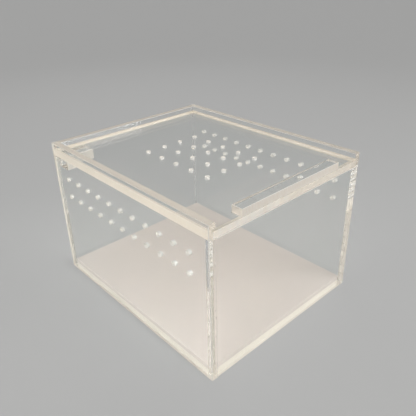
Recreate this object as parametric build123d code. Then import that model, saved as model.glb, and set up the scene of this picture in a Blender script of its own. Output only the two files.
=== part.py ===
from build123d import *
import os

# Clear acrylic terrarium: a box of cemented cast sheet with a white floor on a clear base,
# vents in both side walls, and a vented lid that slides in routed grooves and pulls out at
# the front.
# All sizes are in millimetres. The origin is the centre of the footprint, on the surface
# that the box stands on. +X is the right wall, -Y is the front, and +Z is up.

# Overall size
box_width = 170.0
box_depth = 208.0
box_height = 133.0

# Sheet, cement and broken edges
wall_thickness = 6.0
base_thickness = 6.0
floor_thickness = 4.0
lid_thickness = 6.0
cement_line = 0.05
edge_break = 0.4

# Groove for the lid, routed in the inner faces of the side walls and the back wall
groove_land = 5.0
groove_height = 7.2
groove_depth = 3.0

# Running fit of the lid
lid_side_clearance = 0.5
lid_rear_clearance = 0.5
lid_seat_clearance = 0.1

# Handle bar along the lid's front edge
handle_length = 110.0
handle_depth = 10.0
handle_height = 6.0

# Block in the back left corner, under the lid
block_length = 23.0
block_depth = 15.0
block_height = 9.0
block_lid_clearance = 0.3

# Vents
side_vent_diameter = 4.0
side_vent_columns = 11
side_vent_rows = 2
side_vent_column_pitch = 16.5
side_vent_row_pitch = 17.0
side_vent_top_margin = 30.0
lid_vent_diameter = 4.0
lid_vent_columns = 4
lid_vent_rows = 5
lid_vent_column_pitch = 18.1
lid_vent_row_pitch = 19.2

# Planes that the pieces share
outer_x = box_width / 2
outer_y = box_depth / 2
inner_x = outer_x - wall_thickness
inner_y = outer_y - wall_thickness
groove_x = inner_x + groove_depth
groove_y = inner_y + groove_depth
groove_top = box_height - groove_land
groove_floor = groove_top - groove_height
lid_bottom = groove_floor + lid_seat_clearance
lid_top = lid_bottom + lid_thickness


def sheet(x_range, y_range, z_range):
    """A rectangular piece of sheet that fills three ranges."""
    ranges = (x_range, y_range, z_range)
    size = [high - low for low, high in ranges]
    centre = [(low + high) / 2 for low, high in ranges]
    return Pos(*centre) * Box(*size)


def edges_on(solid, **planes):
    """The straight edges of a solid that lie on every named plane, such as X=3.0 and Z=10.0."""
    tolerance = 1e-4
    found = ShapeList()
    for edge in solid.edges():
        ends = (edge @ 0, edge @ 1)
        if all(abs(getattr(end, axis) - place) < tolerance for end in ends for axis, place in planes.items()):
            found.append(edge)
    return found


def break_edges(solid, *edge_groups):
    """The solid with the sharp corners of the given edges taken off."""
    edges = ShapeList(dict.fromkeys(edge for group in edge_groups for edge in group))
    return chamfer(edges, edge_break)


def side_vents():
    """Drills for the vents of a side wall, in a wall centred on the origin."""
    rows_span = (side_vent_rows - 1) * side_vent_row_pitch
    centre_z = box_height - side_vent_top_margin - rows_span / 2
    face = Plane(origin=(0, 0, centre_z), x_dir=(0, 1, 0), z_dir=(1, 0, 0))
    pattern = GridLocations(side_vent_column_pitch, side_vent_row_pitch, side_vent_columns, side_vent_rows)
    drill = Cylinder(side_vent_diameter / 2, wall_thickness * 2)
    return [face * place * drill for place in pattern]


def side_wall(side):
    """One side wall, full depth and full height. side is -1 for the left and +1 for the right."""
    outer_face = side * outer_x
    inner_face = side * inner_x
    wall = sheet(sorted((outer_face, inner_face)), (-outer_y, outer_y), (0, box_height))
    wall = break_edges(wall, edges_on(wall, X=outer_face), edges_on(wall, X=inner_face, Z=box_height))
    groove_cut = sheet(
        sorted((inner_face - side * groove_depth, side * groove_x)),
        (-box_depth, box_depth),
        (groove_floor, groove_top),
    )
    wall_centre = Pos(side * (outer_x + inner_x) / 2, 0, 0)
    return wall - groove_cut - [wall_centre * drill for drill in side_vents()]


def back_wall():
    """The back wall, between the side walls, with the groove that stops the lid."""
    half_width = inner_x - cement_line
    wall = sheet((-half_width, half_width), (inner_y, outer_y), (0, box_height))
    wall = break_edges(
        wall,
        edges_on(wall, Y=outer_y, Z=box_height),
        edges_on(wall, Y=inner_y, Z=box_height),
        edges_on(wall, Y=outer_y, Z=0),
    )
    groove_cut = sheet(
        (-box_width, box_width),
        (inner_y - groove_depth, groove_y),
        (groove_floor, groove_top),
    )
    return wall - groove_cut


def front_wall():
    """The front wall, between the side walls, cut down so that the lid passes over it."""
    half_width = inner_x - cement_line
    wall = sheet((-half_width, half_width), (-outer_y, -inner_y), (0, groove_floor))
    return break_edges(
        wall,
        edges_on(wall, Y=-outer_y, Z=groove_floor),
        edges_on(wall, Y=-inner_y, Z=groove_floor),
        edges_on(wall, Y=-outer_y, Z=0),
    )


def bottom_sheet(bottom, thickness):
    """A sheet that fills the space between the four walls."""
    half_width = inner_x - cement_line
    half_depth = inner_y - cement_line
    return sheet((-half_width, half_width), (-half_depth, half_depth), (bottom, bottom + thickness))


def base_panel():
    """The clear base, flush with the lower edges of the walls."""
    return bottom_sheet(0, base_thickness)


def floor_panel():
    """The opaque white floor, on top of the clear base."""
    return bottom_sheet(base_thickness + cement_line, floor_thickness)


def lid():
    """The sliding lid, flush with the front, in the side grooves and the back groove."""
    half_width = groove_x - lid_side_clearance
    rear = groove_y - lid_rear_clearance
    panel = sheet((-half_width, half_width), (-outer_y, rear), (lid_bottom, lid_top))
    running_edges = [
        edges_on(panel, X=side * half_width, Z=level)
        for side in (-1, 1)
        for level in (lid_bottom, lid_top)
    ]
    rear_edges = [edges_on(panel, Y=rear, Z=level) for level in (lid_bottom, lid_top)]
    panel = break_edges(panel, *running_edges, *rear_edges, edges_on(panel, Y=-outer_y, Z=lid_bottom))
    centre = Pos(0, (rear - outer_y) / 2, (lid_bottom + lid_top) / 2)
    pattern = GridLocations(lid_vent_column_pitch, lid_vent_row_pitch, lid_vent_columns, lid_vent_rows)
    drill = Cylinder(lid_vent_diameter / 2, lid_thickness * 2)
    return panel - [centre * place * drill for place in pattern]


def lid_handle():
    """The bar on the lid's front edge that the lid is pulled by."""
    half_length = handle_length / 2
    bottom = lid_top + cement_line
    top = bottom + handle_height
    front = -outer_y
    bar = sheet((-half_length, half_length), (front, front + handle_depth), (bottom, top))
    upright_edges = bar.edges().filter_by(Axis.Z)
    return break_edges(bar, edges_on(bar, Z=top), upright_edges)


def corner_block():
    """The clear block cemented into the back left corner, just under the lid."""
    left = -inner_x + cement_line
    rear = inner_y - cement_line
    top = lid_bottom - block_lid_clearance
    block = sheet((left, left + block_length), (rear - block_depth, rear), (top - block_height, top))
    return break_edges(
        block,
        edges_on(block, X=left + block_length),
        edges_on(block, Y=rear - block_depth, Z=top),
        edges_on(block, Y=rear - block_depth, Z=top - block_height),
    )


pieces = {
    "base_panel": base_panel(),
    "floor_panel": floor_panel(),
    "front_wall": front_wall(),
    "back_wall": back_wall(),
    "left_wall": side_wall(-1),
    "right_wall": side_wall(1),
    "lid": lid(),
    "lid_handle": lid_handle(),
    "corner_block": corner_block(),
}

os.makedirs("parts", exist_ok=True)
for name, piece in pieces.items():
    export_step(piece, f"parts/{name}.step")
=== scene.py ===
import math

import bpy
from mathutils import Matrix, Vector


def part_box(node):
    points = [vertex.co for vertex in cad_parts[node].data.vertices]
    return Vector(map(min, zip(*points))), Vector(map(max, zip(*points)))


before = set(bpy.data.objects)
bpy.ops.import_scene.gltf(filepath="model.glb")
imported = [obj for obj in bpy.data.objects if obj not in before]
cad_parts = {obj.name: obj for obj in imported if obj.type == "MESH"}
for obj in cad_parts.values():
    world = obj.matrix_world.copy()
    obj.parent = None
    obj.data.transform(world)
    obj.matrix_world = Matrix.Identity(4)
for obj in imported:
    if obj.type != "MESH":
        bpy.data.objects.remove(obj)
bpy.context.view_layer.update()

# The looks of a clear acrylic terrarium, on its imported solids, with a pale studio round them.
# Sizes are in metres, and the axes are those of the solids: -Y is the front and +Z is up.

# Camera, as a turn round the object and an offset from the line through its origin.
# Its lens and its sensor are in millimetres.
camera_azimuth = math.radians(-42.04)
camera_elevation = math.radians(27.37)
camera_roll = math.radians(-1.453)
camera_distance = 0.4666
camera_right_offset = 0.0050
camera_up_offset = 0.0715
camera_lens = 40.76
camera_shift_y = -0.0164
camera_sensor_width = 36.0
camera_nearest = 0.01

# Studio, a round floor that sweeps up into a wall
studio_floor_radius = 1.1
studio_sweep_radius = 0.9
studio_wall_height = 2.6
studio_sweep_steps = 24
studio_sides = 96
studio_clearance = 0.0001
studio_colour = (0.64, 0.64, 0.635)
studio_even_tone = (0.48, 0.48, 0.475)
studio_even_share = 0.6

# Lamps, as the place, the width and the power of each, and the fill from above
lamp_aim = (0.0, 0.0, 0.05)
lamp_spread = math.radians(110)
left_lamp = ((-1.3, -0.3, 0.55), 0.6, 2.8)
front_lamp = ((0.5, -1.15, 0.65), 0.6, 3.1)
back_lamp = ((0.5, 0.95, 0.9), 0.7, 1.0)
fill_colour = (1.0, 1.0, 1.0)
fill_strength = 0.3

# Light is led along a sheet by many reflections, and each one counts as a bounce.
light_bounces = 64

# Axes and sides
axis_index = {"X": 0, "Y": 1, "Z": 2}
side_words = {"-X": "left", "+X": "right", "-Y": "front", "+Z": "top"}

# The axis across each clear piece of sheet
across_sheet = {
    "base_panel": "Z",
    "front_wall": "Y",
    "back_wall": "Y",
    "left_wall": "X",
    "right_wall": "X",
    "lid": "Z",
    "lid_handle": "Z",
    "corner_block": "Z",
}
vented_pieces = ("left_wall", "right_wall", "lid")

# The sides of each piece that are polished. Its other faces are cut edges.
polished_sides = {
    "base_panel": ("-Z", "+Z"),
    "front_wall": ("-X", "+X", "-Y", "+Y"),
    "back_wall": ("-X", "+X", "-Y", "+Y"),
    "left_wall": ("-X", "+X"),
    "right_wall": ("-X", "+X"),
    "lid": ("-Z", "+Z"),
    "lid_handle": ("+Y", "-Z", "+Z"),
    "corner_block": ("-Z", "+Z"),
}
# Cut edges that have a share of polish of their own
edge_polish = {
    "left_wall": {"-Y": 0.75, "+Z": 0.5},
    "right_wall": {"-Y": 0.75, "+Z": 0.5},
    "lid": {"-Y": 0.6},
    "lid_handle": {"-X": 0.4, "+X": 0.4, "-Y": 0.0},
    "corner_block": {"+X": 0.35, "-Y": 0.35},
}
# The sides that a clear joint shows through, and the pieces that they are cemented to there
cemented_sides = {
    "front_wall": {"-X": ("left_wall",), "+X": ("right_wall",)},
    "back_wall": {"-Y": ("corner_block",)},
    "left_wall": {"+X": ("front_wall", "corner_block")},
    "right_wall": {"-X": ("front_wall",)},
    "lid": {"+Z": ("lid_handle",)},
    "lid_handle": {"-Z": ("lid",)},
    "corner_block": {"-X": ("left_wall",), "+Y": ("back_wall",)},
}

# Material slots that every clear piece has
polished_slot = 0
cut_slot = 1
arris_slot = 2
bore_slot = 3

# Tests on a face's place, direction and area
on_plane = 0.00002
along_axis = 0.95
steepest_arris = 0.8
least_arris_tilt = 0.3
largest_bore_facet = 0.00002

# Acrylic, and the light from lamps that passes straight through a polished face and a cut edge
acrylic_ior = 1.49
polished_lamp_tint = (0.95, 0.96, 0.95)
cut_lamp_tint = (0.6, 0.59, 0.57)

# Textures
noise_detail = 3.0
first_tone_end = 0.35
second_tone_start = 0.65

# Polished faces
clear_tones = ((0.975, 0.985, 0.975), (0.985, 0.99, 0.985))
casting_wave_size = 0.03
casting_wave_height = 0.00001
casting_wave_detail = 1.0

# Cemented joints. A bubble is where noise is below the level, and its rim is as soft as the fade.
cement_reach = 0.0002
bubble_size = 0.0025
bubble_level = 0.28
bubble_fade = 0.05

# Cut edges, broken arrises and drilled bores
cut_tones = ((0.94, 0.86, 0.76), (0.98, 0.92, 0.83))
arris_tones = ((0.97, 0.93, 0.86), (0.99, 0.96, 0.92))
bore_tones = ((0.95, 0.92, 0.87), (0.99, 0.97, 0.94))
cut_glass_colour = (0.98, 0.97, 0.95)
cut_polish = 0.12
arris_polish = 0.0
bore_polish = 0.3
cut_roughness = 0.1
polished_cut_roughness = 0.08
bore_roughness = 0.15
satin_through_share = 0.15
saw_mark_size = 0.0007
saw_mark_stretch = 0.15
saw_mark_depth = 0.00004

# White floor
white_tones = ((0.73, 0.65, 0.60), (0.75, 0.665, 0.61))
white_roughness = 0.18
white_cloud_size = 0.02
white_grain_size = 0.0015
white_grain_height = 0.00001


def new_material(name):
    """An empty node material, with its tree and its output node."""
    material = bpy.data.materials.new(name)
    material.use_nodes = True
    tree = material.node_tree
    tree.nodes.clear()
    output = tree.nodes.new("ShaderNodeOutputMaterial")
    return material, tree, output


def node(tree, kind, **inputs):
    """A shader node with some of its inputs set, by socket name with _ for a space."""
    made = tree.nodes.new(kind)
    for name, value in inputs.items():
        made.inputs[name.replace("_", " ")].default_value = value
    return made


def noise(tree, size, stretch=(1.0, 1.0, 1.0), detail=noise_detail):
    """Noise with features of about the given size, longer along an axis with a stretch below 1."""
    coordinates = tree.nodes.new("ShaderNodeTexCoord")
    mapping = tree.nodes.new("ShaderNodeMapping")
    mapping.inputs["Scale"].default_value = stretch
    made = node(tree, "ShaderNodeTexNoise", Scale=1.0 / size, Detail=detail)
    tree.links.new(coordinates.outputs["Object"], mapping.inputs["Vector"])
    tree.links.new(mapping.outputs["Vector"], made.inputs["Vector"])
    return made


def two_tones(tree, texture, first, second):
    """A colour between two tones, by a texture."""
    ramp = tree.nodes.new("ShaderNodeValToRGB")
    ramp.color_ramp.elements[0].position = first_tone_end
    ramp.color_ramp.elements[0].color = (*first, 1.0)
    ramp.color_ramp.elements[1].position = second_tone_start
    ramp.color_ramp.elements[1].color = (*second, 1.0)
    tree.links.new(texture.outputs["Fac"], ramp.inputs["Fac"])
    return ramp


def bump(tree, texture, height):
    """Relief of the given height, by a texture."""
    made = node(tree, "ShaderNodeBump", Strength=1.0, Distance=height)
    tree.links.new(texture.outputs["Fac"], made.inputs["Height"])
    return made


def math_of(tree, operation, first, second):
    """A maths node on two nodes' values."""
    made = tree.nodes.new("ShaderNodeMath")
    made.operation = operation
    tree.links.new(first.outputs[0], made.inputs[0])
    tree.links.new(second.outputs[0], made.inputs[1])
    return made


def mixed(tree, share, first, second):
    """A mix of two shaders. The share of the second is a number or a socket."""
    mix = tree.nodes.new("ShaderNodeMixShader")
    if isinstance(share, bpy.types.NodeSocket):
        tree.links.new(share, mix.inputs[0])
    else:
        mix.inputs[0].default_value = share
    tree.links.new(first.outputs[0], mix.inputs[1])
    tree.links.new(second.outputs[0], mix.inputs[2])
    return mix


def let_lamps_through(tree, shader, output, tint):
    """Joins a shader to the output, but lets light from lamps pass straight through the face, tinted."""
    straight = node(tree, "ShaderNodeBsdfTransparent", Color=(*tint, 1.0))
    path = tree.nodes.new("ShaderNodeLightPath")
    mix = mixed(tree, path.outputs["Is Shadow Ray"], shader, straight)
    tree.links.new(mix.outputs[0], output.inputs[0])


def polished_shader(tree):
    """Cast acrylic, smooth but for the faint waves of the casting."""
    glass = node(tree, "ShaderNodeBsdfPrincipled", Roughness=0.0, IOR=acrylic_ior, Transmission_Weight=1.0)
    waves = noise(tree, casting_wave_size, detail=casting_wave_detail)
    tint = two_tones(tree, waves, *clear_tones)
    relief = bump(tree, waves, casting_wave_height)
    tree.links.new(tint.outputs["Color"], glass.inputs["Base Color"])
    tree.links.new(relief.outputs["Normal"], glass.inputs["Normal"])
    return glass


def clear_sheet():
    """Polished cast acrylic. Lamp rays go straight through it, so that what is inside is lit."""
    material, tree, output = new_material("clear_sheet")
    let_lamps_through(tree, polished_shader(tree), output, polished_lamp_tint)
    return material


def inside_box(tree, place, low, high):
    """A value of 1 inside a box and 0 outside it."""
    found = None
    for axis in range(3):
        compare = tree.nodes.new("ShaderNodeMath")
        compare.operation = "COMPARE"
        compare.inputs[1].default_value = (low[axis] + high[axis]) / 2
        compare.inputs[2].default_value = (high[axis] - low[axis]) / 2 + cement_reach
        tree.links.new(place.outputs[axis], compare.inputs[0])
        found = compare if found is None else math_of(tree, "MULTIPLY", found, compare)
    return found


def cemented_sheet(name, others):
    """Polished acrylic that light goes straight through where another piece is cemented to it."""
    material, tree, output = new_material(name)
    glass = polished_shader(tree)
    coordinates = tree.nodes.new("ShaderNodeTexCoord")
    place = tree.nodes.new("ShaderNodeSeparateXYZ")
    tree.links.new(coordinates.outputs["Object"], place.inputs[0])
    joined = None
    for other in others:
        low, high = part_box(other)
        here = inside_box(tree, place, low, high)
        joined = here if joined is None else math_of(tree, "MAXIMUM", joined, here)
    bubbles = noise(tree, bubble_size)
    between_bubbles = tree.nodes.new("ShaderNodeMapRange")
    between_bubbles.inputs["From Min"].default_value = bubble_level
    between_bubbles.inputs["From Max"].default_value = bubble_level + bubble_fade
    tree.links.new(bubbles.outputs["Fac"], between_bubbles.inputs["Value"])
    clearness = math_of(tree, "MULTIPLY", joined, between_bubbles)
    straight = node(tree, "ShaderNodeBsdfTransparent", Color=(1.0, 1.0, 1.0, 1.0))
    mix = mixed(tree, clearness.outputs[0], glass, straight)
    let_lamps_through(tree, mix, output, polished_lamp_tint)
    return material


def cut_edge(name, axis, tones, polish, roughness=cut_roughness, drilled=False):
    """A cut edge, partly satin, and clear by its share of polish.

    Saw marks run along the axis across the sheet. A drill's marks run round it, and catch the light.
    """
    material, tree, output = new_material(name)
    stretch = [saw_mark_stretch if drilled else 1.0] * 3
    stretch[axis_index[axis]] = 1.0 if drilled else saw_mark_stretch
    marks = noise(tree, saw_mark_size, stretch)
    colour = two_tones(tree, marks, *tones)
    relief = bump(tree, marks, saw_mark_depth)
    diffuse = tree.nodes.new("ShaderNodeBsdfDiffuse")
    through = tree.nodes.new("ShaderNodeBsdfTranslucent")
    for shader in (diffuse, through):
        tree.links.new(colour.outputs["Color"], shader.inputs["Color"])
        tree.links.new(relief.outputs["Normal"], shader.inputs["Normal"])
    satin = mixed(tree, satin_through_share, diffuse, through)
    glass = node(
        tree,
        "ShaderNodeBsdfPrincipled",
        Base_Color=(*cut_glass_colour, 1.0),
        Roughness=roughness,
        IOR=acrylic_ior,
        Transmission_Weight=1.0,
    )
    if drilled:
        tree.links.new(relief.outputs["Normal"], glass.inputs["Normal"])
    let_lamps_through(tree, mixed(tree, polish, satin, glass), output, cut_lamp_tint)
    return material


def white_sheet():
    """Opaque white acrylic with a fine grain and a soft gloss."""
    material, tree, output = new_material("white_sheet")
    surface = node(tree, "ShaderNodeBsdfPrincipled", Roughness=white_roughness, IOR=acrylic_ior)
    cloud = noise(tree, white_cloud_size)
    colour = two_tones(tree, cloud, *white_tones)
    grain = noise(tree, white_grain_size)
    relief = bump(tree, grain, white_grain_height)
    tree.links.new(colour.outputs["Color"], surface.inputs["Base Color"])
    tree.links.new(relief.outputs["Normal"], surface.inputs["Normal"])
    tree.links.new(surface.outputs[0], output.inputs[0])
    return material


def studio_paint():
    """Plain matt paint. To the camera, straight or through the sheet, part of it is an even tone."""
    material, tree, output = new_material("studio_paint")
    paint = node(tree, "ShaderNodeBsdfDiffuse", Color=(*studio_colour, 1.0))
    even = node(tree, "ShaderNodeEmission", Color=(*studio_even_tone, 1.0))
    path = tree.nodes.new("ShaderNodeLightPath")
    seen = None
    for ray in ("Is Camera Ray", "Is Glossy Ray", "Is Transmission Ray"):
        share = tree.nodes.new("ShaderNodeMath")
        share.operation = "MULTIPLY"
        share.inputs[1].default_value = studio_even_share
        tree.links.new(path.outputs[ray], share.inputs[0])
        seen = share if seen is None else math_of(tree, "MAXIMUM", seen, share)
    mix = mixed(tree, seen.outputs[0], paint, even)
    tree.links.new(mix.outputs[0], output.inputs[0])
    return material


def side_of(centre, normal, low, high):
    """The side of a piece's box that a face lies on, such as -Y, or None."""
    for letter, axis in axis_index.items():
        for sign, plane in (("-", low[axis]), ("+", high[axis])):
            outward = normal[axis] if sign == "+" else -normal[axis]
            if outward > along_axis and abs(centre[axis] - plane) < on_plane:
                return sign + letter
    return None


def is_arris(normal, across):
    """Whether a face slopes as a broken arris does, between a sheet's polished face and its edge."""
    return max(abs(part) for part in normal) < steepest_arris and abs(normal[across]) > least_arris_tilt


def dress(name, polished, cut, arris, bore):
    """Gives each face of a clear piece its own finish: polished, cemented, cut, broken arris or drilled."""
    low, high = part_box(name)
    across = axis_index[across_sheet[name]]
    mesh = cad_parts[name].data
    mesh.materials.clear()
    for material in (polished, cut, arris, bore):
        mesh.materials.append(material)
    slots = {side: polished_slot for side in polished_sides[name]}
    for side, others in cemented_sides.get(name, {}).items():
        slots[side] = len(mesh.materials)
        mesh.materials.append(cemented_sheet(name + "_joint_" + "_".join(others), others))
    for side, polish in edge_polish.get(name, {}).items():
        slots[side] = len(mesh.materials)
        title = f"{name}_edge_{side_words[side]}"
        mesh.materials.append(cut_edge(title, across_sheet[name], cut_tones, polish, polished_cut_roughness))
    for face in mesh.polygons:
        side = side_of(face.center, face.normal, low, high)
        if side in slots:
            face.material_index = slots[side]
        elif is_arris(face.normal, across):
            face.material_index = arris_slot
        elif name in vented_pieces and face.area < largest_bore_facet:
            face.material_index = bore_slot
        else:
            face.material_index = cut_slot


def dress_clear_pieces():
    """Gives the clear pieces their finishes, which share their materials where they can."""
    polished = clear_sheet()
    for axis in axis_index:
        cut = cut_edge("cut_edge_" + axis, axis, cut_tones, cut_polish)
        arris = cut_edge("broken_arris_" + axis, axis, arris_tones, arris_polish)
        bore = cut_edge("drilled_bore_" + axis, axis, bore_tones, bore_polish, bore_roughness, drilled=True)
        for name, across in across_sheet.items():
            if across == axis:
                dress(name, polished, cut, arris, bore)


def dress_floor():
    """Gives the floor panel its white finish."""
    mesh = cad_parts["floor_panel"].data
    mesh.materials.clear()
    mesh.materials.append(white_sheet())


def add_camera():
    """The camera at the photograph's viewing angle."""
    back = Vector(
        (
            math.sin(camera_azimuth) * math.cos(camera_elevation),
            -math.cos(camera_azimuth) * math.cos(camera_elevation),
            math.sin(camera_elevation),
        )
    )
    level_right = Vector((0, 0, 1)).cross(back).normalized()
    level_up = back.cross(level_right)
    right = math.cos(camera_roll) * level_right + math.sin(camera_roll) * level_up
    up = math.cos(camera_roll) * level_up - math.sin(camera_roll) * level_right
    eye = camera_right_offset * right + camera_up_offset * up + camera_distance * back
    data = bpy.data.cameras.new("camera")
    data.sensor_width = camera_sensor_width
    data.lens = camera_lens
    data.shift_y = camera_shift_y
    data.clip_start = camera_nearest
    camera = bpy.data.objects.new("camera", data)
    camera.matrix_world = Matrix((right, up, back)).transposed().to_4x4()
    camera.matrix_world.translation = eye
    bpy.context.scene.collection.objects.link(camera)
    bpy.context.scene.camera = camera


def add_studio():
    """A round floor whose edge sweeps up into a wall."""
    profile = [(0.0, 0.0), (studio_floor_radius, 0.0)]
    for step in range(1, studio_sweep_steps + 1):
        turn = math.pi / 2 * step / studio_sweep_steps
        out = studio_floor_radius + studio_sweep_radius * math.sin(turn)
        profile.append((out, studio_sweep_radius * (1 - math.cos(turn))))
    profile.append((studio_floor_radius + studio_sweep_radius, studio_wall_height))
    places = []
    faces = []
    for side in range(studio_sides):
        turn = 2 * math.pi * side / studio_sides
        places += [(out * math.cos(turn), out * math.sin(turn), height) for out, height in profile]
    count = len(profile)
    for side in range(studio_sides):
        here = side * count
        there = (side + 1) % studio_sides * count
        for step in range(count - 1):
            faces.append((here + step, here + step + 1, there + step + 1, there + step))
    mesh = bpy.data.meshes.new("studio")
    mesh.from_pydata(places, [], faces)
    mesh.materials.append(studio_paint())
    for face in mesh.polygons:
        face.use_smooth = True
    studio = bpy.data.objects.new("studio", mesh)
    studio.location.z = -studio_clearance
    bpy.context.scene.collection.objects.link(studio)


def add_lamp(name, place, width, power):
    """A soft square lamp aimed at the object, and seen only as a highlight."""
    data = bpy.data.lights.new(name, "AREA")
    data.size = width
    data.energy = power
    data.spread = lamp_spread
    lamp = bpy.data.objects.new(name, data)
    lamp.location = place
    lamp.rotation_euler = (Vector(lamp_aim) - Vector(place)).to_track_quat("-Z", "Y").to_euler()
    lamp.visible_camera = False
    lamp.visible_transmission = False
    bpy.context.scene.collection.objects.link(lamp)
    return lamp


def add_lamps():
    """One lamp on the left, one in front, and one behind that leaves no highlight."""
    add_lamp("left", *left_lamp)
    add_lamp("front", *front_lamp)
    back = add_lamp("back", *back_lamp)
    back.visible_glossy = False


def add_world():
    """Even fill from above the studio's wall."""
    world = bpy.data.worlds.new("studio_fill")
    world.use_nodes = True
    background = world.node_tree.nodes["Background"]
    background.inputs["Color"].default_value = (*fill_colour, 1.0)
    background.inputs["Strength"].default_value = fill_strength
    bpy.context.scene.world = world


add_camera()
add_studio()
add_lamps()
add_world()
dress_clear_pieces()
dress_floor()

scene = bpy.context.scene
scene.view_settings.view_transform = "Standard"
scene.cycles.max_bounces = light_bounces
scene.cycles.transmission_bounces = light_bounces
scene.cycles.glossy_bounces = light_bounces
scene.cycles.transparent_max_bounces = light_bounces
